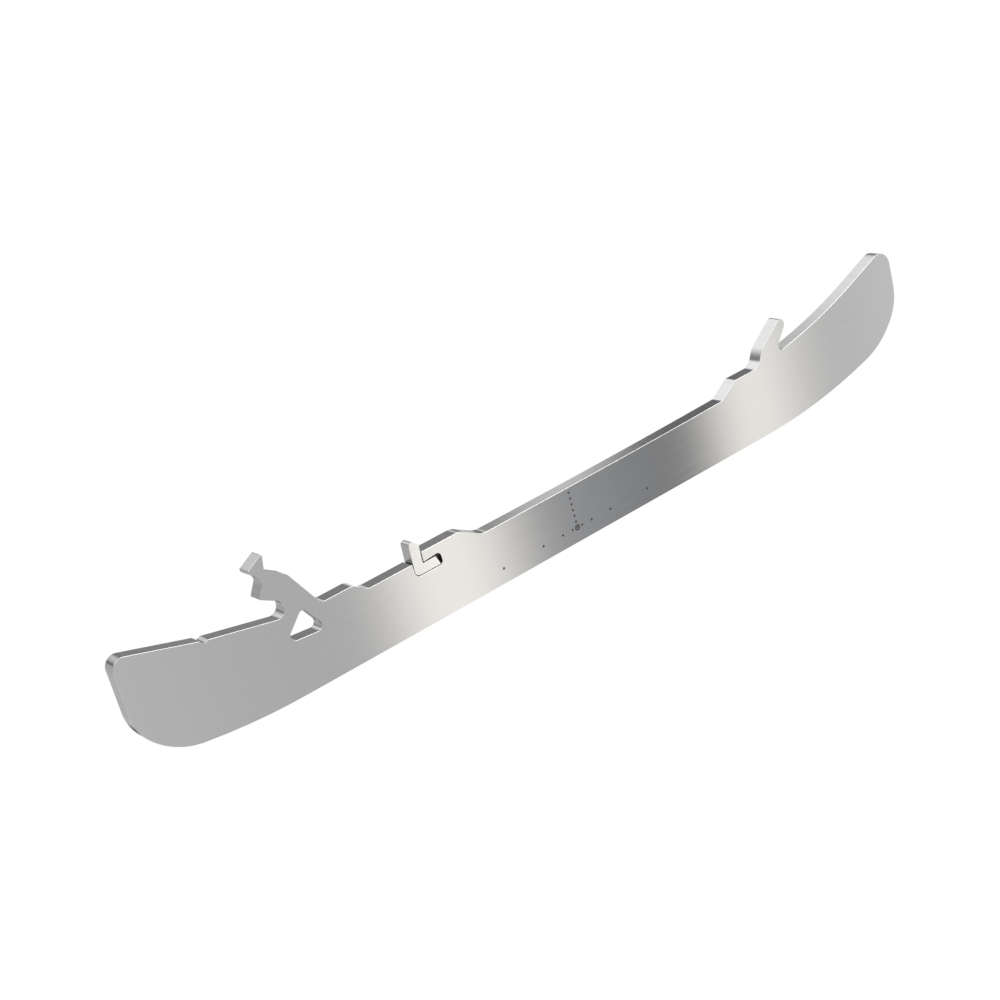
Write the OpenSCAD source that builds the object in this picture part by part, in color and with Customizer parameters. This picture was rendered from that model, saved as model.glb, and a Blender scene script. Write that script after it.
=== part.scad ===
// Replacement hockey skate runner with its rocking ejector clip.
// X runs from heel to toe with 0 at mid-length, Y through the steel, Z up from the ice line.
// Every outline is a list of corners [x, height, radius] in the XZ plane, walked anticlockwise.

/* [Steel plate] */
// Overall length, heel end to toe end
runner_length = 255; // [240:1:300]
// Thickness of the steel
steel_thickness = 4; // [2.8:0.1:4.4]
// Radius of the rocker, the long curve that meets the ice
rocker_radius = 30000; // [3000:1000:40000]
// Height of the lowest point of the hollow waist
waist_height = 15.1; // [13:0.05:16]
// Radius of the waist's hollow top edge
waist_radius = 2900; // [800:50:4000]
// Distance of the waist's lowest point in front of mid-length
waist_offset = -7.5; // [-15:0.5:15]
// Radius at the ends of the toe seat and at the foot of its ramp
seat_radius = 0.6; // [0.2:0.1:1]

/* [Heel] */
// Height of the heel end before its top corner is rounded
heel_height = 31.5; // [29:0.1:33]
// Radius of the heel's top corner
heel_corner_radius = 2.8; // [1:0.1:4]
// Fall of the heel edge from the heel end to the notch, in degrees
heel_edge_angle = 16.7; // [13:0.1:18]
// Distance from the heel end to the notch in the heel edge
heel_notch_distance = 22.3; // [15:0.1:28]
// Width of the notch
heel_notch_width = 2.2; // [1.5:0.1:3]
// Depth of the notch
heel_notch_depth = 0.6; // [0.3:0.1:0.9]
// Radius in the notch and on its rims
heel_notch_radius = 0.4; // [0.2:0.1:0.8]
// Fall of the heel edge from the notch to the hook, in degrees
heel_inner_angle = 12.3; // [8:0.1:13]
// Height of the foot of the heel's end face before rounding
heel_end_height = 12.5; // [11:0.1:14]
// Radius between the heel's end face and the heel curve
heel_end_radius = 12; // [8:0.5:13]
// Slope of the heel curve at its steep end, in degrees
heel_nose_angle = 50; // [45:1:55]
// Radius of the steep stretch of the heel curve
heel_nose_radius = 19.5; // [14:0.5:20]
// Slope where the heel curve leaves the ice, in degrees
heel_sweep_angle = 9.1; // [8:0.1:10]
// Distance from the heel end to the middle of the heel's long sweep
heel_sweep_distance = 28.5; // [25:0.5:31]
// Radius of the heel's long sweep
heel_sweep_radius = 170; // [100:5:175]

/* [Heel hook] */
// Distance from the heel end to the centre of the hook's round mouth
hook_mouth_distance = 41.2; // [38:0.1:43]
// Radius of the mouth
hook_mouth_radius = 2.3; // [2.1:0.1:2.6]
// Rise of the hook's underside, in degrees
hook_lip_angle = 28.5; // [25:0.5:33]
// Height of the hook's lower tip above the centre of the mouth
hook_tip_height = 4.35; // [3.25:0.05:5.75]
// Lean of the face between tip and neck from level, in degrees
hook_face_angle = 58; // [50:1:70]
// Height of the neck on the heel side above the tip
hook_neck_height = 4; // [3.3:0.1:5.5]
// Radius between the neck and the head on the heel side
hook_neck_radius = 1.5; // [0.3:0.1:1.7]
// Reach of the head past the neck towards the heel
hook_head_reach = 2.9; // [1.8:0.1:3.6]
// Rise of the head's underside, in degrees
hook_head_angle = 43; // [38:1:50]
// Height of the head's blunt end
hook_head_end = 0.7; // [0.5:0.1:1.4]
// Width of the head
hook_head_width = 4.7; // [3.6:0.1:5.2]
// Slope of the head's top, in degrees
hook_top_angle = 28.5; // [20:0.5:35]
// Height of the head's toe-side face
hook_head_back = 4.3; // [3.2:0.05:5]
// Undercut of the neck on the toe side
hook_neck_undercut = 0.8; // [0.2:0.1:1]
// Length of the shoulder behind the neck
hook_shoulder_length = 5.1; // [3.6:0.1:6]
// Fall of the shoulder, in degrees
hook_shoulder_angle = 31.5; // [25:0.5:38]
// Radius of the shoulder
hook_shoulder_radius = 2.9; // [1:0.1:4]
// Fall of the hook's back, in degrees
hook_back_angle = 59.6; // [54:0.1:66]
// Radius at the foot of the hook's back
hook_root_radius = 2.5; // [1:0.1:3.2]
// Radius of the hook's sharp corners
hook_corner_radius = 0.35; // [0.1:0.05:0.45]

/* [Window] */
// Distance from the centre of the hook's mouth to the top corner of the window
window_distance = 6.5; // [5:0.1:8]
// Depth of the window's top corner below the centre of the mouth, before rounding
window_top = 2.25; // [2.1:0.05:4.2]
// Height of the window before rounding
window_height = 7.35; // [5:0.05:8.5]
// Slope of the window's heel side, in degrees
window_heel_angle = 44.7; // [40:0.1:55]
// Slope of the window's toe side, in degrees
window_toe_angle = 57.8; // [50:0.1:70]
// Tilt of the window's base, in degrees
window_base_angle = 5.8; // [0:0.1:8]
// Radius of the window's corners
window_radius = 1.4; // [0.3:0.1:1.6]

/* [Seats] */
// Height of the heel seat
heel_seat_height = 19.4; // [18.5:0.05:20]
// Distance from the heel end to the toe side of the heel seat
heel_seat_end = 62; // [60:0.5:66]
// Fall of the ramp behind the heel seat, in degrees
heel_ramp_angle = 39; // [25:1:45]
// Radius at the top and at the foot of the heel seat's ramp
heel_ramp_radius = 3.2; // [0.5:0.1:3.6]
// Height of the dip between the heel seat and the clip
dip_height = 16.8; // [16:0.05:17.6]
// Height of the clip seat
clip_seat_height = 18.7; // [18.2:0.05:20]
// Distance from the heel-side face of the clip's arm to the toe side of the clip seat
clip_seat_end = 15; // [11:0.25:19]
// Fall of the ramp from the clip seat to the waist, in degrees
clip_ramp_angle = 29; // [18:1:35]
// Radius at the top and at the foot of the clip seat's ramp
clip_ramp_radius = 5; // [0.5:0.1:6]
// Height of the toe seat
toe_seat_height = 19.4; // [18.5:0.05:20]
// Distance from the root of the toe hook to the heel side of the toe seat
toe_seat_start = 15.6; // [13.5:0.1:21]
// Rise of the ramp from the waist to the toe seat, in degrees
toe_ramp_angle = 31.2; // [20:0.1:36]

/* [Toe] */
// Distance from the toe end to the root of the toe hook before rounding
toe_hook_distance = 49.4; // [47:0.1:51]
// Height of the root of the toe hook above the toe seat, before rounding
toe_hook_root_height = 0.9; // [0.2:0.1:2.1]
// Radius in the root of the toe hook
toe_hook_root_radius = 1.3; // [0.4:0.1:1.5]
// Lean of the toe hook's front face from level, in degrees
toe_hook_angle = 50.4; // [46:0.1:58]
// Height of the toe hook above the foot of the step at its back
toe_hook_height = 8.7; // [8.3:0.1:9.6]
// Width of the toe hook's flat top before rounding
toe_hook_top = 3.5; // [3:0.1:4.4]
// Radius of the toe hook's tip
toe_hook_tip_radius = 1.6; // [0.5:0.1:1.8]
// Slope of the toe hook's back, in degrees
toe_hook_back_angle = 34.2; // [30:0.1:35.5]
// Length of the toe hook's back, from its top to the step, along the blade
toe_hook_back_length = 8.4; // [7:0.1:8.8]
// Slope of the step at the foot of the toe hook's back, in degrees
toe_step_angle = 62; // [58:1:65]
// Height of the foot of the step above the toe seat
toe_step_height = 1.2; // [0.8:0.1:2]
// Rise from the toe seat to the step, in degrees
toe_rise_angle = 30; // [24:1:42]
// Radius in the foot of the step
toe_step_radius = 2.2; // [0.3:0.1:2.4]
// Radius between the step and the toe hook's back
toe_shoulder_radius = 6.5; // [1:0.5:7]
// Slope of the toe edge next to the hook, in degrees
toe_edge_start_angle = 10.4; // [9:0.1:13]
// Slope of the toe edge at the tip, in degrees
toe_edge_end_angle = 20.5; // [17:0.5:22]
// Distance from the toe end to the middle of the toe edge's bend
toe_edge_distance = 28.5; // [24:0.1:30.5]
// Radius of the hollow toe edge
toe_edge_radius = 150; // [80:5:165]
// Radius of the toe tip
toe_tip_radius = 4.1; // [2:0.1:5]
// Height of the foot of the toe's end face before rounding
toe_end_height = 17.1; // [16:0.1:18.5]
// Radius between the toe's end face and the toe curve
toe_end_radius = 14; // [10:0.5:15.5]
// Slope of the toe curve at its steep end, in degrees
toe_nose_angle = 48; // [45:1:52]
// Radius of the steep stretch of the toe curve
toe_nose_radius = 24.5; // [15:0.5:25]
// Slope where the toe curve leaves the ice, in degrees
toe_sweep_angle = 14.3; // [13:0.1:15.5]
// Distance from the toe end to the middle of the toe's long sweep
toe_sweep_distance = 37.2; // [34:0.1:40]
// Radius of the toe's long sweep
toe_sweep_radius = 170; // [90:5:175]

/* [Ejector clip] */
// Distance from the heel end to the heel-side face of the clip's arm
clip_distance = 79; // [76:0.5:83]
// Height of the underside of the clip's foot
clip_foot_base = 13.25; // [12:0.05:13.6]
// Lean of the clip's arm towards the toe, in degrees
clip_lean = 3; // [0:0.5:5]
// Width of the clip's arm
clip_arm_width = 2.8; // [2.2:0.1:3.4]
// Height of the clip, from the underside of its foot to the corner of its arm
clip_height = 9.9; // [9:0.1:12]
// Fall of the arm's sloping top, in degrees
clip_top_angle = 43; // [30:1:50]
// Radius of the arm's leading corner
clip_top_radius = 0.95; // [0.3:0.05:1]
// Length of the clip, from the arm's heel-side face to the end of its foot
clip_length = 7.7; // [7:0.1:10]
// Height of the clip's foot
clip_foot_height = 2.5; // [2.2:0.1:2.8]
// Set-back of the foot's end at its upper side
clip_foot_setback = 0.9; // [0.3:0.1:1.5]
// Outside radius of the elbow that the clip rocks on
clip_elbow_radius = 1.45; // [1:0.05:1.8]
// Radius of the clip's small corners
clip_corner_radius = 0.3; // [0.1:0.05:0.4]
// Angle that the clip rocks towards the heel, in degrees
clip_swing = 5; // [3:0.5:8]
// Gap round the clip in its pocket, kept over the whole swing
clip_clearance = 0.15; // [0.1:0.05:0.3]
// Gap past the end of the clip's foot
clip_end_gap = 0.55; // [0.4:0.05:1]
// Depth of each side of the clip below the side of the plate
clip_side_inset = 0.2; // [0.02:0.01:0.3]
// Radius in the end of the pocket
pocket_end_radius = 1.2; // [0.4:0.1:1.4]

/* [Hidden] */
$fn = 180;

// A rounding disc reaches this far past its tangent edges, so that its arc always meets them
blend = 0.002;
// Straight stretches that stand for the rocker and for the waist's hollow
rocker_steps = 12;
waist_steps = 10;
// Straight stretch between each long sweep and the rocker
sweep_lead = 2;
// Cuts run this far past the faces that they open
cut_margin = 3;

heel_x = -runner_length / 2;
toe_x = runner_length / 2;

function heading(angle) = [cos(angle), sin(angle)];
function unit(v) = v / norm(v);
function corner(p, radius = 0) = [p.x, p.y, radius];

// Where the line through p at angle a meets the line through q at angle b
function meet(p, a, q, b) = p + heading(a) * cross(q - p, heading(b)) / cross(heading(a), heading(b));

// Height of a circular arc whose lowest point is at [x0, low]
function arc_height(x, x0, low, radius) = low + radius - sqrt(radius ^ 2 - (x - x0) ^ 2);

// Where the line that falls from p at angle a meets the waist's arc
function waist_foot(p, a) =
    let (to_centre = [waist_offset, waist_height + waist_radius] - p)
    let (aside = cross(heading(a), to_centre))
    p + heading(a) * (to_centre * heading(a) + sqrt(waist_radius ^ 2 - aside ^ 2));

// The ice edge, from the heel's end face to the toe's. Each long sweep runs out on the rocker's tangent.
heel_sweep_x = heel_x + heel_sweep_distance;
toe_sweep_x = toe_x - toe_sweep_distance;
rocker_start = heel_sweep_x + heel_sweep_radius * tan(heel_sweep_angle / 2) + sweep_lead;
rocker_end = toe_sweep_x - toe_sweep_radius * tan(toe_sweep_angle / 2) - sweep_lead;
rocker_middle = (rocker_start + rocker_end) / 2;
function rocker_point(x) = [x, arc_height(x, rocker_middle, 0, rocker_radius)];
function rocker_slope(x) = asin((x - rocker_middle) / rocker_radius);
heel_end = [heel_x, heel_end_height];
toe_end = [toe_x, toe_end_height];
heel_sweep = meet(rocker_point(rocker_start), rocker_slope(rocker_start), [heel_sweep_x, 0], 90);
toe_sweep = meet(rocker_point(rocker_end), rocker_slope(rocker_end), [toe_sweep_x, 0], 90);
ice_edge = concat(
    [corner(heel_end, heel_end_radius)],
    [corner(meet(heel_end, -heel_nose_angle, heel_sweep, -heel_sweep_angle), heel_nose_radius)],
    [corner(heel_sweep, heel_sweep_radius)],
    [for (i = [0 : rocker_steps])
        corner(rocker_point(rocker_start + (rocker_end - rocker_start) * i / rocker_steps))],
    [corner(toe_sweep, toe_sweep_radius)],
    [corner(meet(toe_end, toe_nose_angle, toe_sweep, toe_sweep_angle), toe_nose_radius)],
    [corner(toe_end, toe_end_radius)]
);

// The toe edge and the toe hook, from the tip back to the toe seat
toe_hook_root = [toe_x - toe_hook_distance, toe_seat_height + toe_hook_root_height];
toe_step_level = toe_seat_height + toe_step_height;
toe_edge_bend = meet(toe_hook_root, toe_edge_start_angle, [toe_x - toe_edge_distance, 0], 90);
toe_tip = meet(toe_edge_bend, toe_edge_end_angle, [toe_x, 0], 90);
toe_hook_tip = meet(toe_hook_root, toe_hook_angle, [0, toe_step_level + toe_hook_height], 0);
toe_hook_top_end = toe_hook_tip - [toe_hook_top, 0];
toe_step_top = toe_hook_top_end
    - [toe_hook_back_length, toe_hook_back_length * tan(toe_hook_back_angle)];
toe_step_foot = meet(toe_step_top, toe_step_angle, [0, toe_step_level], 0);
toe_seat_end = meet(toe_step_foot, toe_rise_angle, [0, toe_seat_height], 0);
toe_edge = [
    corner(toe_tip, toe_tip_radius),
    corner(toe_edge_bend, toe_edge_radius),
    corner(toe_hook_root, toe_hook_root_radius),
    corner(toe_hook_tip, toe_hook_tip_radius),
    corner(toe_hook_top_end, hook_corner_radius),
    corner(toe_step_top, toe_shoulder_radius),
    corner(toe_step_foot, toe_step_radius),
    corner(toe_seat_end, seat_radius)
];

// The elbow's centre is the line that the clip rocks on
arm_x = heel_x + clip_distance;
elbow = [arm_x + clip_elbow_radius, clip_foot_base + clip_elbow_radius];
arm_angle = 90 - clip_lean;
arm_face = elbow + heading(arm_angle + 90) * clip_elbow_radius;
arm_back = arm_face + heading(arm_angle - 90) * clip_arm_width;
arm_top = meet(arm_face, arm_angle, [0, clip_foot_base + clip_height], 0);
foot_end_x = arm_x + clip_length;
foot_top = clip_foot_base + clip_foot_height;

// The stepped top edge, from the toe seat back to the heel seat
toe_seat_corner = [toe_hook_root.x - toe_seat_start, toe_seat_height];
clip_seat_corner = [arm_x + clip_seat_end, clip_seat_height];
heel_seat_corner = [heel_x + heel_seat_end, heel_seat_height];
toe_ramp_foot = waist_foot(toe_seat_corner, 180 + toe_ramp_angle);
clip_ramp_foot = waist_foot(clip_seat_corner, -clip_ramp_angle);
dip_corner = meet(heel_seat_corner, -heel_ramp_angle, [0, dip_height], 0);
arm_middle_x = arm_x + clip_arm_width / 2;
seat_edge = concat(
    [corner(toe_seat_corner, seat_radius)],
    [corner(toe_ramp_foot, seat_radius)],
    [for (i = [1 : waist_steps - 1])
        let (x = toe_ramp_foot.x + (clip_ramp_foot.x - toe_ramp_foot.x) * i / waist_steps)
        [x, arc_height(x, waist_offset, waist_height, waist_radius), 0]],
    [corner(clip_ramp_foot, clip_ramp_radius)],
    [corner(clip_seat_corner, clip_ramp_radius)],
    [[arm_middle_x, clip_seat_height, 0]],
    [[arm_middle_x, dip_height, 0]],
    [corner(dip_corner, heel_ramp_radius)],
    [corner(heel_seat_corner, heel_ramp_radius)]
);

// The heel hook, from the foot of its back over the head to its mouth
heel_top = [heel_x, heel_height];
notch = meet(heel_top, -heel_edge_angle, [heel_x + heel_notch_distance, 0], 90);
mouth_edge = meet(notch, -heel_inner_angle, [heel_x + hook_mouth_distance, 0], 90);
mouth_centre = mouth_edge + [0, hook_mouth_radius / cos(heel_inner_angle)];
lip_start = mouth_centre + heading(90 - hook_lip_angle) * hook_mouth_radius;
hook_tip = meet(lip_start, -hook_lip_angle, mouth_centre + [0, hook_tip_height], 0);
neck_front = meet(hook_tip, hook_face_angle, hook_tip + [0, hook_neck_height], 0);
head_low = neck_front + [-hook_head_reach, hook_head_reach * tan(hook_head_angle)];
head_end = head_low + [0, hook_head_end];
head_top = head_end + [hook_head_width, hook_head_width * tan(hook_top_angle)];
neck_back = head_top - [hook_neck_undercut, hook_head_back];
shoulder = neck_back + [hook_shoulder_length, -hook_shoulder_length * tan(hook_shoulder_angle)];
hook_root = meet(shoulder, -hook_back_angle, [0, heel_seat_height], 0);
mouth = meet(lip_start, -hook_lip_angle, notch, -heel_inner_angle);
hook_edge = [
    corner(hook_root, hook_root_radius),
    corner(shoulder, hook_shoulder_radius),
    corner(neck_back, hook_corner_radius),
    corner(head_top, hook_corner_radius),
    corner(head_end, hook_corner_radius),
    corner(head_low, hook_corner_radius),
    corner(neck_front, hook_neck_radius),
    corner(hook_tip, hook_corner_radius),
    corner(mouth, hook_mouth_radius)
];

// The heel edge with its notch, from the hook's mouth to the heel's top corner
heel_edge = [
    corner(notch + heading(-heel_inner_angle) * heel_notch_width / 2, heel_notch_radius),
    corner(notch - [0, heel_notch_depth], heel_notch_radius),
    corner(notch - heading(-heel_edge_angle) * heel_notch_width / 2, heel_notch_radius),
    corner(heel_top, heel_corner_radius)
];

window_apex = mouth_centre + [window_distance, -window_top];
window_base = window_apex - [0, window_height];
window_corners = [
    corner(window_apex, window_radius),
    corner(meet(window_apex, window_heel_angle, window_base, -window_base_angle), window_radius),
    corner(meet(window_apex, -window_toe_angle, window_base, -window_base_angle), window_radius)
];

clip_corners = [
    corner(meet(arm_face, arm_angle, [0, clip_foot_base], 0), clip_elbow_radius),
    [foot_end_x, clip_foot_base, clip_corner_radius],
    [foot_end_x - clip_foot_setback, foot_top, clip_corner_radius],
    corner(meet(arm_back, arm_angle, [0, foot_top], 0), clip_corner_radius),
    corner(meet(arm_top, -clip_top_angle, arm_back, arm_angle), clip_corner_radius),
    corner(arm_top, clip_top_radius)
];

// The pocket is the clip's own outline, opened by the clearance and by the swing about the elbow
pocket_floor = clip_foot_base - clip_clearance;
pocket_end_x = foot_end_x + clip_end_gap;
pocket_wall = arm_back + heading(arm_angle - 90) * clip_clearance;
pocket_rim = max(clip_seat_height, dip_height) + cut_margin;
swung_angle = arm_angle + clip_swing;
swung_face = elbow + heading(swung_angle + 90) * (clip_elbow_radius + clip_clearance);
swung_foot = elbow + heading(90 + clip_swing) * (foot_top - elbow.y + clip_clearance);
pocket_corners = [
    corner(meet(swung_face, swung_angle, [0, pocket_floor], 0), clip_elbow_radius + clip_clearance),
    [pocket_end_x, pocket_floor, pocket_end_radius],
    corner(meet(swung_foot, clip_swing, [pocket_end_x, 0], 90), pocket_end_radius),
    corner(meet(swung_foot, clip_swing, pocket_wall, arm_angle), clip_corner_radius),
    corner(meet(pocket_wall, arm_angle, [0, pocket_rim], 0)),
    corner(meet(swung_face, swung_angle, [0, pocket_rim], 0))
];

// The rounding disc of one corner p, between its edges towards a and b
module corner_disc(p, a, b, radius) {
    half = acos(a * b) / 2;
    reach = radius / tan(half) + 2 * sqrt(2 * blend * radius);
    rise = p - (p + a * reach + p + b * reach) / 2;
    intersection() {
        translate(p + unit(a + b) * radius / sin(half)) circle(radius + blend);
        polygon([p + a * reach, p + b * reach, p + b * reach + rise, p + a * reach + rise]);
    }
}

// The rounding discs of the corners that stick out, or of those that point in
module corner_discs(corners, outward) {
    n = len(corners);
    for (i = [0 : n - 1]) {
        p = [corners[i].x, corners[i].y];
        to_last = [corners[(i + n - 1) % n].x, corners[(i + n - 1) % n].y] - p;
        to_next = [corners[(i + 1) % n].x, corners[(i + 1) % n].y] - p;
        if (corners[i].z > 0 && (cross(to_next, to_last) > 0) == outward)
            corner_disc(p, unit(to_last), unit(to_next), corners[i].z);
    }
}

// A closed outline with each corner rounded to its own radius by a true arc
module rounded(corners) {
    n = len(corners);
    chords = [for (i = [0 : n - 1])
        let (p = [corners[i].x, corners[i].y])
        let (a = unit([corners[(i + n - 1) % n].x, corners[(i + n - 1) % n].y] - p))
        let (b = unit([corners[(i + 1) % n].x, corners[(i + 1) % n].y] - p))
        let (reach = corners[i].z / tan(acos(a * b) / 2))
        each corners[i].z > 0 ? [p + a * reach, p + b * reach] : [p]];
    difference() {
        union() {
            polygon(chords);
            corner_discs(corners, true);
        }
        corner_discs(corners, false);
    }
}

// Stands an XZ outline upright, centred on the middle of the steel
module plate(thickness) {
    rotate([90, 0, 0]) linear_extrude(height = thickness, center = true) children();
}

module runner() {
    color("silver") plate(steel_thickness) difference() {
        rounded(concat(ice_edge, toe_edge, seat_edge, hook_edge, heel_edge));
        rounded(window_corners);
        rounded(pocket_corners);
    }
}

module ejector_clip() {
    color("gainsboro") plate(steel_thickness - 2 * clip_side_inset) rounded(clip_corners);
}

runner();
ejector_clip();
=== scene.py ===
# %% [markdown]
# # Dressing a hockey skate runner
# A runner is the steel blade of an ice hockey skate. It is cut from one flat plate and ground on both
# faces, and it carries one small part that moves: an L-shaped ejector clip in a pocket of its top edge.
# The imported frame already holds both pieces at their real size. Here they get broken edges, marks on the
# face and finishes, and then a studio that polished steel looks good in.

# %% Load the frame
import math

import bpy
import bmesh
from mathutils import Matrix, Vector
from mathutils.geometry import tessellate_polygon


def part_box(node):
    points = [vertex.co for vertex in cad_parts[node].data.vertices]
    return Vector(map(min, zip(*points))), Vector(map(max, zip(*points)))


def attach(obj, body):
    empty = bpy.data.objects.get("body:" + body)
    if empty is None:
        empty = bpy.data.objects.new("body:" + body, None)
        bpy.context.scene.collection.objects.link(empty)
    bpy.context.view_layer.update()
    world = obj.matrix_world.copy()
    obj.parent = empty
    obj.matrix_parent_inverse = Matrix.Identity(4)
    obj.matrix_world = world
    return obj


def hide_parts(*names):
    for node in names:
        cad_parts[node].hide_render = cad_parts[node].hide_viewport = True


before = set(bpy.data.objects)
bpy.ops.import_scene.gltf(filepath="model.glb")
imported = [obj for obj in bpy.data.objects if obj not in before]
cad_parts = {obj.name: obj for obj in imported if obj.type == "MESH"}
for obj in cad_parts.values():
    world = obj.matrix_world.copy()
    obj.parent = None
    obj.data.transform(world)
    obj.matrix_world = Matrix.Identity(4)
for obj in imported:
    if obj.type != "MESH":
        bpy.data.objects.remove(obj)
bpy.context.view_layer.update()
# The frame is in metres, and the sizes below are written in millimetres
MM = 0.001

# %% [markdown]
# ## Reading an outline
# Both pieces are plates, so the outline of one side says all about their shape. It could be traced by
# hand, but the frame has it exactly: the edges that a flat side shares with the walls, walked round with
# the steel on the left. The window in the plate comes out as a second loop that runs the other way.

# %% Outlines of the plates
# Points closer than this are one point
WELD = 0.0005 * MM


def outline_loops(node):
    """The closed loops of a plate's -Y side, as lists of (x, z) points with the steel on their left."""
    plate = bmesh.new()
    plate.from_mesh(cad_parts[node].data)
    bmesh.ops.remove_doubles(plate, verts=plate.verts, dist=WELD)
    side_y = min(v.co.y for v in plate.verts)
    side = {f for f in plate.faces if all(abs(v.co.y - side_y) < WELD for v in f.verts)}
    following = {}
    for face in side:
        for corner in face.loops:
            if corner.link_loop_radial_next.face not in side:
                following[corner.vert] = corner.link_loop_next.vert
    loops = []
    while following:
        vert, ahead = following.popitem()
        points = [Vector((vert.co.x, vert.co.z))]
        while ahead in following:
            points.append(Vector((ahead.co.x, ahead.co.z)))
            ahead = following.pop(ahead)
        loops.append(points)
    plate.free()
    return sorted(loops, key=len, reverse=True)


runner_loops = outline_loops("runner")
clip_loops = outline_loops("ejector_clip")
print("outline points:", [len(loop) for loop in runner_loops + clip_loops])

# %% [markdown]
# ## Breaking bare corners
# No real corner is perfectly sharp: a beam or a die leaves a tiny round. Where the outline turns at a
# single point, the round could be drawn point by point. It is enough to cut that corner back to two
# points, because the next step rounds it like all the rest.

# %% Bare corners
# A bare corner is cut back this far
CORNER_BREAK = 0.12 * MM
# A turn sharper than this is a bare corner and not a step of an arc
SHARP_TURN = math.radians(40)


def with_neighbours(points):
    """Each point of a closed loop, between the point before it and the point after it."""
    return zip(points[-1:] + points[:-1], points, points[1:] + points[:1])


def outward(start, end):
    """Unit direction out of the steel, square to the edge from start to end."""
    along = (end - start).normalized()
    return Vector((along.y, -along.x))


def break_corners(points):
    """The loop with each bare corner cut back to two points."""
    result = []
    for last, point, after in with_neighbours(points):
        reach = min((last - point).length, (after - point).length) / 2
        turn = outward(last, point).angle(outward(point, after))
        if turn > SHARP_TURN and reach > CORNER_BREAK:
            result.append(point + (last - point).normalized() * CORNER_BREAK)
            result.append(point + (after - point).normalized() * CORNER_BREAK)
        else:
            result.append(point)
    return result


runner_broken = [break_corners(loop) for loop in runner_loops]
clip_broken = [break_corners(loop) for loop in clip_loops]
print("with broken corners:", [len(loop) for loop in runner_broken + clip_broken])

# %% [markdown]
# ## Rounding the arcs
# The frame's arcs are short straight chords, which is fine for fitting parts and too coarse for a
# mirror-like metal. A subdivision surface would smooth them, but it would pull the outline off its
# sizes. Instead, the direction that the wall faces is worked out at each point. An arc leaves a straight
# stretch along its tangent, so where a long edge meets a short one, the long edge gives the direction.
# New points then go on the circle that turns from one known direction to the next.

# %% Smooth walls
# An edge this many times as long as its neighbour is a straight stretch
LONG_EDGE = 2.5
# Greatest turn from one point of a smooth arc to the next
ARC_STEP = math.radians(4)


def wall_direction(last, point, after):
    """Direction that the wall faces at a point between its two neighbours."""
    before_length = (point - last).length
    after_length = (after - point).length
    if before_length > LONG_EDGE * after_length:
        return outward(last, point)
    if after_length > LONG_EDGE * before_length:
        return outward(point, after)
    return (outward(last, point) + outward(point, after)).normalized()


def arc(start, end, facing, end_facing):
    """Points and wall directions on the arc from start up to end, which itself is left out."""
    turn = math.atan2(facing.cross(end_facing), facing.dot(end_facing))
    steps = math.ceil(abs(turn) / ARC_STEP)
    if steps < 2:
        return [(start, facing)]
    radius = (end - start).length / (2 * math.sin(turn / 2))
    directions = [Matrix.Rotation(turn * k / steps, 2) @ facing for k in range(steps + 1)]
    missed = end - start - radius * (directions[-1] - facing)
    return [(start + radius * (direction - facing) + missed * k / steps, direction)
            for k, direction in enumerate(directions[:-1])]


def smooth_outline(points):
    """Points and wall directions of one loop, with arcs in place of its chords."""
    facing = [wall_direction(*three) for three in with_neighbours(points)]
    result = []
    for start, end, start_facing, end_facing in zip(points, points[1:] + points[:1],
                                                    facing, facing[1:] + facing[:1]):
        result += arc(start, end, start_facing, end_facing)
    return result


runner_outline = [smooth_outline(loop) for loop in runner_broken]
clip_outline = [smooth_outline(loop) for loop in clip_broken]
print("smooth points:", [len(loop) for loop in runner_outline + clip_outline])

# %% [markdown]
# ## Faces of a plate
# The edges of the real plates are broken on a wheel, which leaves a narrow chamfer: the bright hairline
# that steel shows along its edges. A bevel modifier could cut it, but its overlap guard shrinks every
# bevel to suit the tightest arc. So each loop gets four rings of points through the plate, with a
# chamfer, the wall and the other chamfer between them, and triangles fill the two flat sides. Each face
# corner is given its true direction, so that flat sides mirror as flats and arcs as arcs.

# %% Rings, bands and sides
# Material slots of a plate: its flat sides, its walls, its chamfers and the walls of the clip's pocket,
# which carry painted shade
FACE, WALL, EDGE, POCKET = range(4)
# Lean along Y and slot of the bands between the rings
BANDS = ((-1, EDGE), (0, WALL), (1, EDGE))


def ring_points(loop, y, inset):
    """A ring of points round a loop, at depth y and set in from the wall."""
    return [(point.x - facing.x * inset, y, point.y - facing.y * inset) for point, facing in loop]


def band_faces(loop, near, far, lean, slot):
    """Faces between two rings of point numbers, each with its corners, their directions and its slot."""
    facing = [Vector((outwards.x, lean, outwards.y)).normalized() for _, outwards in loop]
    return [((near[i - 1], far[i - 1], far[i], near[i]),
             (facing[i - 1], facing[i - 1], facing[i], facing[i]), slot)
            for i in range(len(loop))]


def side_faces(points, rings, facing):
    """Triangles of one flat side, between its outer ring of point numbers and the rings of its holes."""
    numbers = [number for ring in rings for number in ring]
    flat = [[Vector(points[number]).xzy for number in ring] for ring in rings]
    faces = []
    for triangle in tessellate_polygon(flat):
        corners = [numbers[place] for place in triangle]
        a, b, c = (Vector(points[number]) for number in corners)
        if (b - a).cross(c - a).dot(facing) < 0:
            corners.reverse()
        faces.append((corners, [facing] * len(corners), FACE))
    return faces


print("bands round each loop:", len(BANDS))

# %% [markdown]
# ## The two plates
# The runner and the clip could each be modelled by hand, but both are plates with broken edges, so one
# function makes them. The clip is a much smaller piece, and its chamfer is narrower. Each plate takes its
# thickness from its node in the frame, stands in for that node and rides on the node's body.

# %% Runner and clip
RUNNER_EDGE_BREAK = 0.05 * MM
CLIP_EDGE_BREAK = 0.03 * MM


def add_object(name, data):
    """A new object in the scene, around its mesh, lamp or camera."""
    obj = bpy.data.objects.new(name, data)
    bpy.context.scene.collection.objects.link(obj)
    return obj


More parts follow.
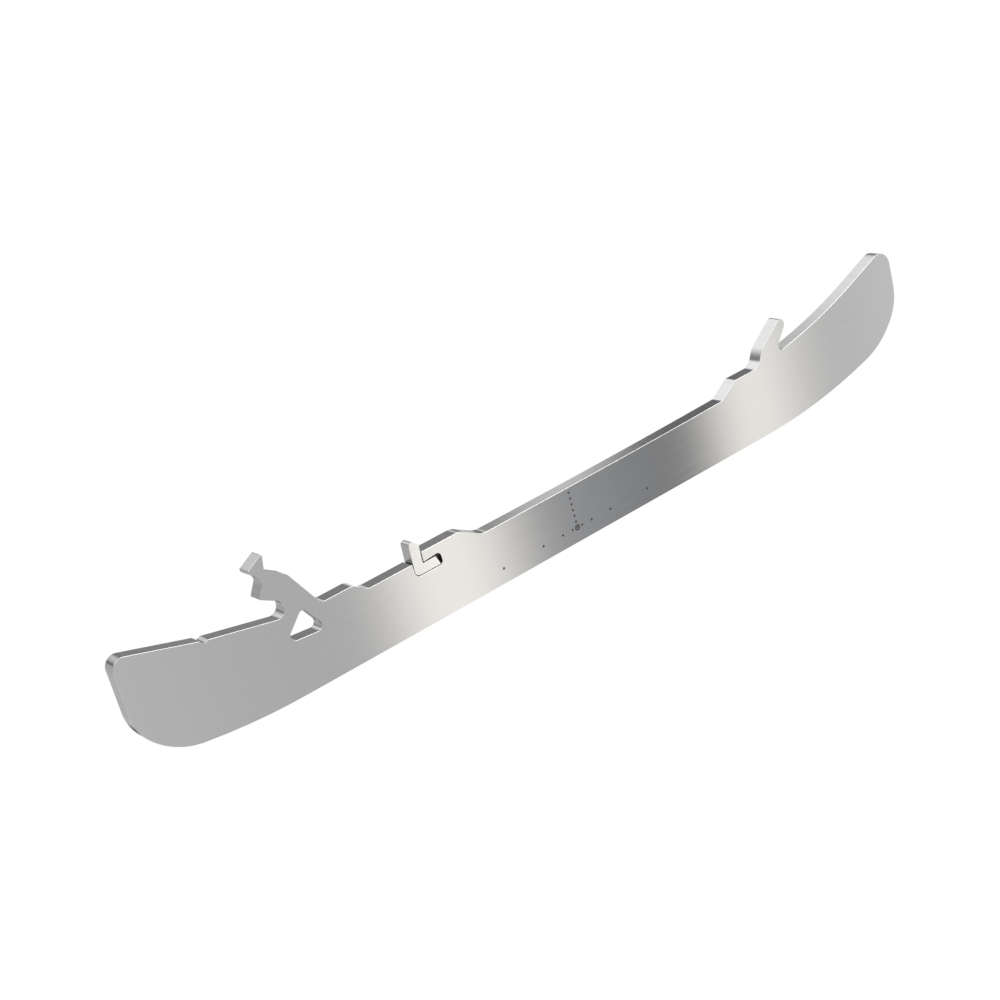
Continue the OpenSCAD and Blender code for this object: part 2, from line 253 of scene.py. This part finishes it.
def plate_piece(name, outline, half, edge_break):
    """A plate with chamfered edges, from its smooth loops and half of its thickness."""
    levels = ((-half, edge_break), (edge_break - half, 0), (half - edge_break, 0), (half, edge_break))
    points, faces, near_side, far_side = [], [], [], []
    for loop in outline:
        rings = []
        for y, inset in levels:
            rings.append(range(len(points), len(points) + len(loop)))
            points += ring_points(loop, y, inset)
        for near, far, (lean, slot) in zip(rings, rings[1:], BANDS):
            faces += band_faces(loop, near, far, lean, slot)
        near_side.append(rings[0])
        far_side.append(rings[-1])
    faces += side_faces(points, near_side, Vector((0, -1, 0)))
    faces += side_faces(points, far_side, Vector((0, 1, 0)))
    corners, directions, slots = zip(*faces)
    mesh = bpy.data.meshes.new(name)
    mesh.from_pydata(points, [], corners)
    mesh.polygons.foreach_set("material_index", slots)
    mesh.shade_smooth()
    mesh.normals_split_custom_set([direction for face in directions for direction in face])
    return add_object(name, mesh)


runner_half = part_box("runner")[1].y
clip_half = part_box("ejector_clip")[1].y
runner = plate_piece("runner_plate", runner_outline, runner_half, RUNNER_EDGE_BREAK)
clip = plate_piece("clip_spring", clip_outline, clip_half, CLIP_EDGE_BREAK)
for piece, node, body, slot in ((runner, "runner", "blade", "runner_steel"),
                                (clip, "ejector_clip", "clip", "clip_steel")):
    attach(piece, body)
    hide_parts(node)
    print(piece.name, "faces:", len(piece.data.polygons))

# %% [markdown]
# ## Centre marks
# A ring with a dot in it marks the middle of the blade, where a sharpener sets the profile. Dots run out
# from it at 1, 3, 7 and 15 steps both ways, and six more climb to the waist. They could be drawn in the
# steel's material, but as thin flat pieces they stay crisp at any size. Each one stands a hundredth of a
# millimetre proud and reaches as deep into the steel.

# %% Marks
MARK_PLACE = (0.6 * MM, 3.9 * MM)
DOT_PITCH = 1.64 * MM
DOT_RADIUS = 0.33 * MM
RING_RADII = (0.46 * MM, 0.82 * MM)
CENTRE_DOT_RADIUS = 0.33 * MM
ROW_STEPS = (-15, -7, -3, -1, 1, 3, 7, 15)
COLUMN_STEPS = range(1, 7)
MARK_LIFT = 0.01 * MM
MARK_SIDES = 32


def add_mark(mesh, x, z, inner, outer):
    """One flat disc, or a ring where inner is above zero, just proud of the photographed face."""
    profile = ((inner, -MARK_LIFT), (inner, MARK_LIFT), (outer, MARK_LIFT), (outer, -MARK_LIFT))
    turns = [math.tau * i / MARK_SIDES for i in range(MARK_SIDES)]
    rings = []
    for radius, lift in profile:
        rings.append([mesh.verts.new((x + radius * math.cos(turn), -runner_half - lift,
                                      z + radius * math.sin(turn))) for turn in turns])
    for first, second in zip(rings, rings[1:] + rings[:1]):
        for i in range(MARK_SIDES):
            mesh.faces.new((first[i - 1], first[i], second[i], second[i - 1]))


marks_mesh = bmesh.new()
mark_x, mark_z = MARK_PLACE
add_mark(marks_mesh, mark_x, mark_z, *RING_RADII)
add_mark(marks_mesh, mark_x, mark_z, 0, CENTRE_DOT_RADIUS)
for step in ROW_STEPS:
    add_mark(marks_mesh, mark_x + step * DOT_PITCH, mark_z, 0, DOT_RADIUS)
for step in COLUMN_STEPS:
    add_mark(marks_mesh, mark_x, mark_z + step * DOT_PITCH, 0, DOT_RADIUS)
bmesh.ops.remove_doubles(marks_mesh, verts=marks_mesh.verts, dist=WELD)
bmesh.ops.recalc_face_normals(marks_mesh, faces=marks_mesh.faces)
marks_data = bpy.data.meshes.new("centre_marks")
marks_mesh.to_mesh(marks_data)
marks_mesh.free()
marks = add_object("centre_marks", marks_data)
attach(marks, "blade")
print("dots around the ring:", len(ROW_STEPS) + len(COLUMN_STEPS))

# %% [markdown]
# ## Finishes
# Every surface here is bare stainless steel. What tells the surfaces apart is how each was made: ground,
# cut, deburred, sheared, rolled or burnt with a laser; only the walls of the clip's pocket are painted
# dark as shade. So all the finishes share their helpers: one turns a hex colour, as a screen shows it, to
# the linear light that Blender works in, and one adds a node.

# %% Colour and node helpers
# Sockets of a Mix node for colours
MIX_SHARE, MIX_FIRST, MIX_SECOND, MIX_RESULT = 0, 6, 7, 2


def linear(hex_colour):
    """An sRGB hex colour as linear RGBA, by the formula of the sRGB standard."""
    channels = [int(hex_colour[i:i + 2], 16) / 255 for i in (1, 3, 5)]
    return [c / 12.92 if c <= 0.04045 else ((c + 0.055) / 1.055) ** 2.4 for c in channels] + [1]


def add_node(tree, kind, inputs=None, **settings):
    """Adds a node, sets its properties, and sets or links its inputs."""
    node = tree.nodes.new(kind)
    for name, value in settings.items():
        setattr(node, name, value)
    for socket, value in (inputs or {}).items():
        if isinstance(value, bpy.types.NodeSocket):
            tree.links.new(value, node.inputs[socket])
        else:
            node.inputs[socket].default_value = value
    return node


print("a middle grey in linear light:", round(linear("#808080")[0], 3))

# %% [markdown]
# ## Steel with a grain
# Each way of working steel leaves a grain with a length and a direction. A picture of brushed metal could
# be wrapped round the plate, but it would stretch on the walls. A noise in the plate's own space goes
# right through it, and stretching it by the grain's real lengths gives streaks of colour, polish and fine
# relief that all lie in the same places, as they do on real metal.

# %% Grained steel
# Layers of ever finer grain, and the strength of each beside the one before
GRAIN_LAYERS = 3
GRAIN_LAYER_SHARE = 0.6
# Most of the noise lies between these two values
GRAIN_SPAN = (0.3, 0.7)


def grained_steel(name, dark, light, grain_mm, roughness, relief_mm):
    """Bare steel with two hex colours and a grain that is grain_mm = (x, y, z) long."""
    material = bpy.data.materials.new(name)
    material.use_nodes = True
    tree = material.node_tree
    tree.nodes.clear()
    place = add_node(tree, "ShaderNodeTexCoord")
    streaks = add_node(tree, "ShaderNodeMapping", {
        "Vector": place.outputs["Object"],
        "Scale": [1 / (size * MM) for size in grain_mm]})
    grain = add_node(tree, "ShaderNodeTexNoise", {
        "Vector": streaks.outputs["Vector"], "Scale": 1,
        "Detail": GRAIN_LAYERS, "Roughness": GRAIN_LAYER_SHARE})
    colour = add_node(tree, "ShaderNodeMix", {
        MIX_SHARE: grain.outputs["Fac"], MIX_FIRST: linear(dark), MIX_SECOND: linear(light)},
        data_type="RGBA")
    polish = add_node(tree, "ShaderNodeMapRange", {
        "Value": grain.outputs["Fac"], "From Min": GRAIN_SPAN[0], "From Max": GRAIN_SPAN[1],
        "To Min": roughness[0], "To Max": roughness[1]})
    relief = add_node(tree, "ShaderNodeBump", {
        "Height": grain.outputs["Fac"], "Distance": relief_mm * MM, "Strength": 1})
    steel = add_node(tree, "ShaderNodeBsdfPrincipled", {
        "Base Color": colour.outputs[MIX_RESULT], "Roughness": polish.outputs["Result"],
        "Normal": relief.outputs["Normal"], "Metallic": 1})
    add_node(tree, "ShaderNodeOutputMaterial", {"Surface": steel.outputs["BSDF"]})
    print("material:", name)
    return material


print("layers of grain:", GRAIN_LAYERS)

# %% [markdown]
# The faces of the runner are surface-ground along the blade and then polished. Grinding lines could be
# modelled as scratches, but they are about 0.05 mm apart, so only their streaks are worth drawing.

# %% Ground faces
# A soft mirror with hair-fine lines from heel to toe, drawn 0.3 mm apart because 0.05 mm wouldn't show
ground_steel = grained_steel("ground_stainless_steel", "#B0B0B0", "#B5B5B5",
                             grain_mm=(30, 30, 0.3), roughness=(0.07, 0.09), relief_mm=0.00005)

# %% [markdown]
# The outline is laser-cut. The beam leaves fine ridges straight through the plate, so the grain of the
# walls is long in Y and short both other ways, which is right for a wall at any slope. The edges were
# then broken on a wheel, which polishes the chamfer, though not evenly.

# %% Cut walls and broken edges
# A darker, rougher mirror, streaked from face to face; the ridges are nearer 0.15 mm apart on real steel,
# which wouldn't show, so they are drawn 0.4 mm apart
cut_steel = grained_steel("laser_cut_steel_wall", "#969696", "#B8B8B8",
                          grain_mm=(0.4, 20, 0.4), roughness=(0.09, 0.15), relief_mm=0.0004)
# A bright, slightly satin hairline round every edge
deburred_steel = grained_steel("deburred_steel_edge", "#C4C4C2", "#CFCFCD",
                               grain_mm=(6, 6, 0.5), roughness=(0.16, 0.24), relief_mm=0.0004)

# %% [markdown]
# The shade in the gap round the clip is painted onto the walls of its pocket, as dull and nearly black
# steel. A piece of its own could line the pocket, but it is the same plate: the wall faces around the
# clip's foot just move to another material slot.

# %% Pocket
# The pocket's walls lie this near the clip's box, and this high above the underside of its foot
POCKET_REACH = 2 * MM
POCKET_HEIGHT = 3.4 * MM

# Painted shade: dull and nearly black steel that draws the shade of the gap round the clip
pocket_painted_shade = grained_steel("pocket_wall_painted_shade", "#2E2E2F", "#414142",
                          grain_mm=(0.4, 20, 0.4), roughness=(0.35, 0.45), relief_mm=0.0008)
for finish in (ground_steel, cut_steel, deburred_steel, pocket_painted_shade):
    runner.data.materials.append(finish)
clip_low, clip_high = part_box("ejector_clip")
pocket_walls = [
    face for face in runner.data.polygons
    if face.material_index == WALL
    and clip_low.x - POCKET_REACH < face.center.x < clip_high.x + POCKET_REACH
    and clip_low.z - POCKET_REACH < face.center.z < clip_low.z + POCKET_HEIGHT]
for face in pocket_walls:
    face.material_index = POCKET
print("pocket wall faces:", len(pocket_walls))

# %% [markdown]
# The clip is stamped from rolled spring strip. Rolling leaves a smooth face whose grain has no direction
# that shows, and the die shears its walls, which are duller than what a laser cuts.

# %% Spring clip
# A plain soft mirror, a little brighter than the ground faces beside it
rolled_strip = grained_steel("rolled_spring_steel", "#BBBBBB", "#BFBFBF",
                             grain_mm=(1.5, 1.5, 1.5), roughness=(0.08, 0.12), relief_mm=0.0001)
# Satin grey, so that the arm's walls stay calm where the runner's flash
sheared_strip = grained_steel("sheared_spring_steel_wall", "#A6A6A5", "#B2B2B0",
                              grain_mm=(0.4, 8, 0.4), roughness=(0.2, 0.28), relief_mm=0.0008)
for finish in (rolled_strip, sheared_strip, deburred_steel):
    clip.data.materials.append(finish)

# %% [markdown]
# A marking laser only heats the steel until it darkens. Paint would be matt and stand on the surface;
# these marks are still metal, so they take the same material as the rest in darker colours.

# %% Laser marks
# Dark grey dots that keep a dull metal shine
burnt_steel = grained_steel("laser_annealed_steel", "#4C4C4E", "#565658",
                            grain_mm=(0.2, 0.2, 0.2), roughness=(0.3, 0.4), relief_mm=0.0008)
marks.data.materials.append(burnt_steel)

# %% [markdown]
# ## The camera
# The photograph was taken from above the heel with a long lens that leans over, so the blade climbs
# across the frame. The view could be set by eye, but here the camera's place, the point that it looks at
# and its lean are real values in the blade's own frame. The lens has no shift and everything is sharp.

# %% Camera
CAMERA_PLACE = Vector((-248.7, -367.65, 189.15)) * MM
CAMERA_AIM = Vector((-18.65, -0.15, 20.15)) * MM
CAMERA_LEAN = math.radians(-15.33)
LENS_MM = 67.32
SENSOR_MM = 36
NEAREST_SEEN = 10 * MM

camera_data = bpy.data.cameras.new("photo_camera")
camera_data.sensor_width = SENSOR_MM
camera_data.lens = LENS_MM
camera_data.clip_start = NEAREST_SEEN
camera = add_object("photo_camera", camera_data)
camera.location = CAMERA_PLACE
camera.rotation_euler = (CAMERA_AIM - CAMERA_PLACE).to_track_quat("-Z", "Y").to_euler()
camera.rotation_euler.rotate_axis("Z", CAMERA_LEAN)
bpy.context.scene.camera = camera
print("camera distance, mm:", round((CAMERA_AIM - CAMERA_PLACE).length / MM))

# %% [markdown]
# ## A studio for steel
# Polished steel has hardly any colour of its own: what it shows is the room. A photographer puts it in a
# white tent with strips of light and grey cards. They could be glowing planes here, but each would need
# aiming and would add noise. A world whose light depends on direction alone is the same tent seen from
# its middle, and each strip stays where it is put. Angles are measured from straight across the blade.
# Heights are the Z of a direction: 0 at the level of the blade and 1 overhead.

# %% Directions in the tent
world = bpy.data.worlds.new("white_tent")
world.use_nodes = True
bpy.context.scene.world = world
tent = world.node_tree
tent.nodes.clear()
ray_place = add_node(tent, "ShaderNodeTexCoord")
direction = add_node(tent, "ShaderNodeSeparateXYZ", {"Vector": ray_place.outputs["Generated"]})
toeward, backward, upward = (direction.outputs[axis] for axis in "XYZ")
along = add_node(tent, "ShaderNodeMath", {0: toeward}, operation="ABSOLUTE")
across = add_node(tent, "ShaderNodeMath", {0: backward}, operation="ABSOLUTE")
turn = add_node(tent, "ShaderNodeMath", {0: along.outputs[0], 1: across.outputs[0]},
                operation="ARCTAN2")
quarter = add_node(tent, "ShaderNodeMath", {0: turn.outputs[0], 1: math.pi / 2}, operation="DIVIDE")
print("nodes that find a direction:", len(tent.nodes))

# %% [markdown]
# The flat sides mirror the low part of the tent. Warm strips of light with cool grey gaps between them
# give the blade its soft upright bands. Above them a belt of darker panels goes round, which the flat
# stretches of the top edge mirror. One quarter of the tent is described and the other three repeat it,
# so both sides of the blade get the same bands.

# %% Panels
NEUTRAL = (1, 1, 1)
WARM = (1.03, 1, 0.95)
COOL = (0.98, 1, 1.03)
QUARTER_DEGREES = 90
# Each panel is an angle in degrees, a level of light and a tint
LOW_PANELS = (
    (0, 1.6, WARM), (3, 1.4, NEUTRAL), (8, 0.55, COOL), (12, 0.8, NEUTRAL), (16, 1.0, NEUTRAL),
    (26.2, 0.86, NEUTRAL), (29.4, 1.88, WARM), (30.2, 1.88, WARM), (33.9, 0.58, COOL), (38.2, 0.37, COOL),
    (40.5, 1.86, WARM), (40.9, 1.86, WARM), (43.4, 0.96, NEUTRAL), (46, 1.14, NEUTRAL), (90, 1.0, NEUTRAL))
BELT_PANELS = (
    (0, 1.0, NEUTRAL), (10, 0.9, NEUTRAL), (22, 0.34, NEUTRAL), (30.8, 0.42, NEUTRAL), (34, 1.2, NEUTRAL),
    (37.1, 0.24, COOL), (39.2, 0.24, COOL), (42, 0.38, COOL), (60, 0.5, NEUTRAL), (90, 0.7, NEUTRAL))


def panel_ramp(panels):
    """Light round the tent, fading from each panel to the next."""
    ramp = add_node(tent, "ShaderNodeValToRGB", {"Fac": quarter.outputs[0]})
    stops = ramp.color_ramp
    stops.interpolation = "EASE"
    while len(stops.elements) < len(panels):
        stops.elements.new(1)
    for stop, (degrees, level, tint) in zip(stops.elements, panels):
        stop.position = degrees / QUARTER_DEGREES
        stop.color = [level * channel for channel in tint] + [1]
    return ramp.outputs["Color"]


low_light = panel_ramp(LOW_PANELS)
belt_light = panel_ramp(BELT_PANELS)
print("panels:", len(LOW_PANELS), "low,", len(BELT_PANELS), "in the belt")

# %% [markdown]
# The upright walls of the heel hook, of its mouth and of the window look down past the far side of the
# heel. Strips there would break them up, so a plain pale wall stands in that corner of the tent. Its dark
# foot climbs towards the toe and puts the dark line into round walls. It is wider low down and high up
# than in between, where the far side of the blade needs the strips.

# %% Wall behind the heel
# Where the wall ends towards the toe: near the level of the blade, and past the heights where it widens
HEEL_WALL_EDGES = (-0.25, 0.25)
HEEL_WALL_WIDENS = (0.3, 0.36)
HEEL_WALL_FADE = 0.1
# Light on the wall's foot and above it, the heights between which it changes, and the foot's climb
HEEL_WALL_LEVELS = (0.2, 0.82)
HEEL_WALL_FOOT = (-0.515, -0.455)
HEEL_WALL_SLOPE = 0.3

steep = add_node(tent, "ShaderNodeMath", {0: upward}, operation="ABSOLUTE")
heel_wall_edge = add_node(tent, "ShaderNodeMapRange", {
    "Value": steep.outputs[0], "From Min": HEEL_WALL_WIDENS[0], "From Max": HEEL_WALL_WIDENS[1],
    "To Min": HEEL_WALL_EDGES[0], "To Max": HEEL_WALL_EDGES[1]})
heelward = add_node(tent, "ShaderNodeMath", {0: heel_wall_edge.outputs["Result"], 1: toeward},
                    operation="SUBTRACT")
heel_corner = add_node(tent, "ShaderNodeMath", {0: heelward.outputs[0], 1: backward},
                       operation="MINIMUM")
behind_heel = add_node(tent, "ShaderNodeMapRange", {
    "Value": heel_corner.outputs[0], "From Min": 0, "From Max": HEEL_WALL_FADE},
    interpolation_type="SMOOTHSTEP").outputs["Result"]
sloped = add_node(tent, "ShaderNodeMath", {0: toeward, 1: -HEEL_WALL_SLOPE, 2: upward},
                  operation="MULTIPLY_ADD")
heel_wall = add_node(tent, "ShaderNodeMapRange", {
    "Value": sloped.outputs[0], "From Min": HEEL_WALL_FOOT[0], "From Max": HEEL_WALL_FOOT[1],
    "To Min": HEEL_WALL_LEVELS[0], "To Max": HEEL_WALL_LEVELS[1]})
low_walls = add_node(tent, "ShaderNodeMix", {
    MIX_SHARE: behind_heel, MIX_FIRST: low_light, MIX_SECOND: heel_wall.outputs["Result"]},
    data_type="RGBA")
print("light on the wall behind the heel:", HEEL_WALL_LEVELS)

# %% [markdown]
# The belt begins a little below the level of the blade, and higher above the wall behind the heel. Over
# it the roof brightens upwards, so that ramps and chamfers flash beside the dark flats. Its middle is
# dimmer again: an even roof would turn the top edge white when the blade is seen from above.

# %% Belt and roof
# Heights between which the low walls change to the belt, and the belt to the roof
BELT_FOOT = (-0.27, -0.19)
BELT_TOP = (0.39, 0.46)
# Behind the heel the belt starts this much higher, and the roof this much lower
HEEL_BELT_RISE = 0.42
HEEL_ROOF_DROP = 0.07
# Light at the roof's edge and at its brightest height, and then in its middle
ROOF_LEVELS = (0.75, 2.0)
ROOF_TOP = 0.72
ROOF_MIDDLE = (0.85, 0.97)
ROOF_MIDDLE_LEVEL = 0.8

belt_height = add_node(tent, "ShaderNodeMath", {0: behind_heel, 1: -HEEL_BELT_RISE, 2: upward},
                       operation="MULTIPLY_ADD")
above_foot = add_node(tent, "ShaderNodeMapRange", {
    "Value": belt_height.outputs[0], "From Min": BELT_FOOT[0], "From Max": BELT_FOOT[1]},
    interpolation_type="SMOOTHSTEP")
walls = add_node(tent, "ShaderNodeMix", {
    MIX_SHARE: above_foot.outputs["Result"], MIX_FIRST: low_walls.outputs[MIX_RESULT],
    MIX_SECOND: belt_light}, data_type="RGBA")
roof_height = add_node(tent, "ShaderNodeMath", {0: behind_heel, 1: HEEL_ROOF_DROP, 2: upward},
                       operation="MULTIPLY_ADD")
above_belt = add_node(tent, "ShaderNodeMapRange", {
    "Value": roof_height.outputs[0], "From Min": BELT_TOP[0], "From Max": BELT_TOP[1]})
roof = add_node(tent, "ShaderNodeMapRange", {
    "Value": roof_height.outputs[0], "From Min": BELT_TOP[1], "From Max": ROOF_TOP,
    "To Min": ROOF_LEVELS[0], "To Max": ROOF_LEVELS[1]})
vault = add_node(tent, "ShaderNodeMapRange", {
    "Value": upward, "From Min": ROOF_MIDDLE[0], "From Max": ROOF_MIDDLE[1],
    "To Min": roof.outputs["Result"], "To Max": ROOF_MIDDLE_LEVEL})
inside = add_node(tent, "ShaderNodeMix", {
    MIX_SHARE: above_belt.outputs["Result"], MIX_FIRST: walls.outputs[MIX_RESULT],
    MIX_SECOND: vault.outputs["Result"]}, data_type="RGBA")
print("light on the roof:", ROOF_LEVELS, "and in its middle:", ROOF_MIDDLE_LEVEL)

# %% [markdown]
# What a ray finds depends on where it comes from. The camera sees a plain white background. Rays that
# leave metal or glass see the tent. All other light comes evenly from everywhere, at a level at which a
# matt colour renders about as it is written.

# %% What each ray sees
WHITE = (1, 1, 1, 1)
PLAIN_LEVEL = 0.8


def mirror_or_camera(tree, ray):
    """A share of 1 for rays from the camera, metal or glass, and of 0 for all others."""
    mirrored = add_node(tree, "ShaderNodeMath", {
        0: ray.outputs["Is Glossy Ray"], 1: ray.outputs["Is Transmission Ray"]}, operation="MAXIMUM")
    either = add_node(tree, "ShaderNodeMath", {
        0: mirrored.outputs[0], 1: ray.outputs["Is Camera Ray"]}, operation="MAXIMUM")
    return either.outputs[0]


tent_ray = add_node(tent, "ShaderNodeLightPath")
seen = add_node(tent, "ShaderNodeMix", {
    MIX_SHARE: tent_ray.outputs["Is Camera Ray"], MIX_FIRST: inside.outputs[MIX_RESULT],
    MIX_SECOND: WHITE}, data_type="RGBA")
tent_light = add_node(tent, "ShaderNodeMix", {
    MIX_SHARE: mirror_or_camera(tent, tent_ray), MIX_FIRST: [PLAIN_LEVEL] * 3 + [1],
    MIX_SECOND: seen.outputs[MIX_RESULT]}, data_type="RGBA")
background = add_node(tent, "ShaderNodeBackground", {
    "Color": tent_light.outputs[MIX_RESULT], "Strength": 1})
add_node(tent, "ShaderNodeOutputWorld", {"Surface": background.outputs["Background"]})
print("nodes in the tent:", len(tent.nodes))

# %% [markdown]
# ## The soft box
# One large soft box hangs in front of the toe, where the chamfers of the top edge mirror it towards the
# camera. A small lamp would do for light, but its reflection would only be a few glints along the edges.

# %% Soft box
SOFT_BOX_PLACE = Vector((550, -400, 900)) * MM
SOFT_BOX_SIZE = 700 * MM
SOFT_BOX_WATTS = 2.8

lamp_data = bpy.data.lights.new("soft_box", "AREA")
lamp_data.size = SOFT_BOX_SIZE
lamp_data.energy = SOFT_BOX_WATTS
lamp = add_object("soft_box", lamp_data)
lamp.location = SOFT_BOX_PLACE
lamp.rotation_euler = (-SOFT_BOX_PLACE).to_track_quat("-Z", "Y").to_euler()
print("soft box distance, mm:", round(SOFT_BOX_PLACE.length / MM))

# %% [markdown]
# ## The floor
# The blade floats in the photograph, so the floor is a pale disc well below it. A plain white floor would
# look grey under this light. So it glows white to the camera and in the steel, and a share of matt paint
# in it still takes the blade's shadow.

# %% Floor
FLOOR_DROP = 400 * MM
FLOOR_RADIUS = 600 * MM
FLOOR_SIDES = 96
FLOOR_GLOW_SHARE = 0.85
FLOOR_GLOW_LEVEL = 1.06

floor_mesh = bmesh.new()
bmesh.ops.create_circle(floor_mesh, cap_ends=True, segments=FLOOR_SIDES, radius=FLOOR_RADIUS)
floor_data = bpy.data.meshes.new("floor")
floor_mesh.to_mesh(floor_data)
floor_mesh.free()
floor = add_object("floor", floor_data)
floor.location.z = -FLOOR_DROP

# Matt white paint, which gives the eye nothing but a white ground and a faint shadow
floor_paint = bpy.data.materials.new("matt_white_floor")
floor_paint.use_nodes = True
paint = floor_paint.node_tree
paint.nodes.clear()
floor_ray = add_node(paint, "ShaderNodeLightPath")
glow_share = add_node(paint, "ShaderNodeMath", {
    0: mirror_or_camera(paint, floor_ray), 1: FLOOR_GLOW_SHARE}, operation="MULTIPLY")
matt = add_node(paint, "ShaderNodeBsdfDiffuse", {"Color": linear("#F4F4F4")})
glow = add_node(paint, "ShaderNodeEmission", {"Color": WHITE, "Strength": FLOOR_GLOW_LEVEL})
surface = add_node(paint, "ShaderNodeMixShader", {
    0: glow_share.outputs[0], 1: matt.outputs["BSDF"], 2: glow.outputs["Emission"]})
add_node(paint, "ShaderNodeOutputMaterial", {"Surface": surface.outputs["Shader"]})
floor.data.materials.append(floor_paint)
print("floor below the ice line, mm:", round(FLOOR_DROP / MM))

# %% [markdown]
# ## Closing the scene
# The Standard view transform shows each colour as it is written, where a filmic one would grey the white
# background.

# %% Finish
bpy.context.scene.view_settings.view_transform = "Standard"
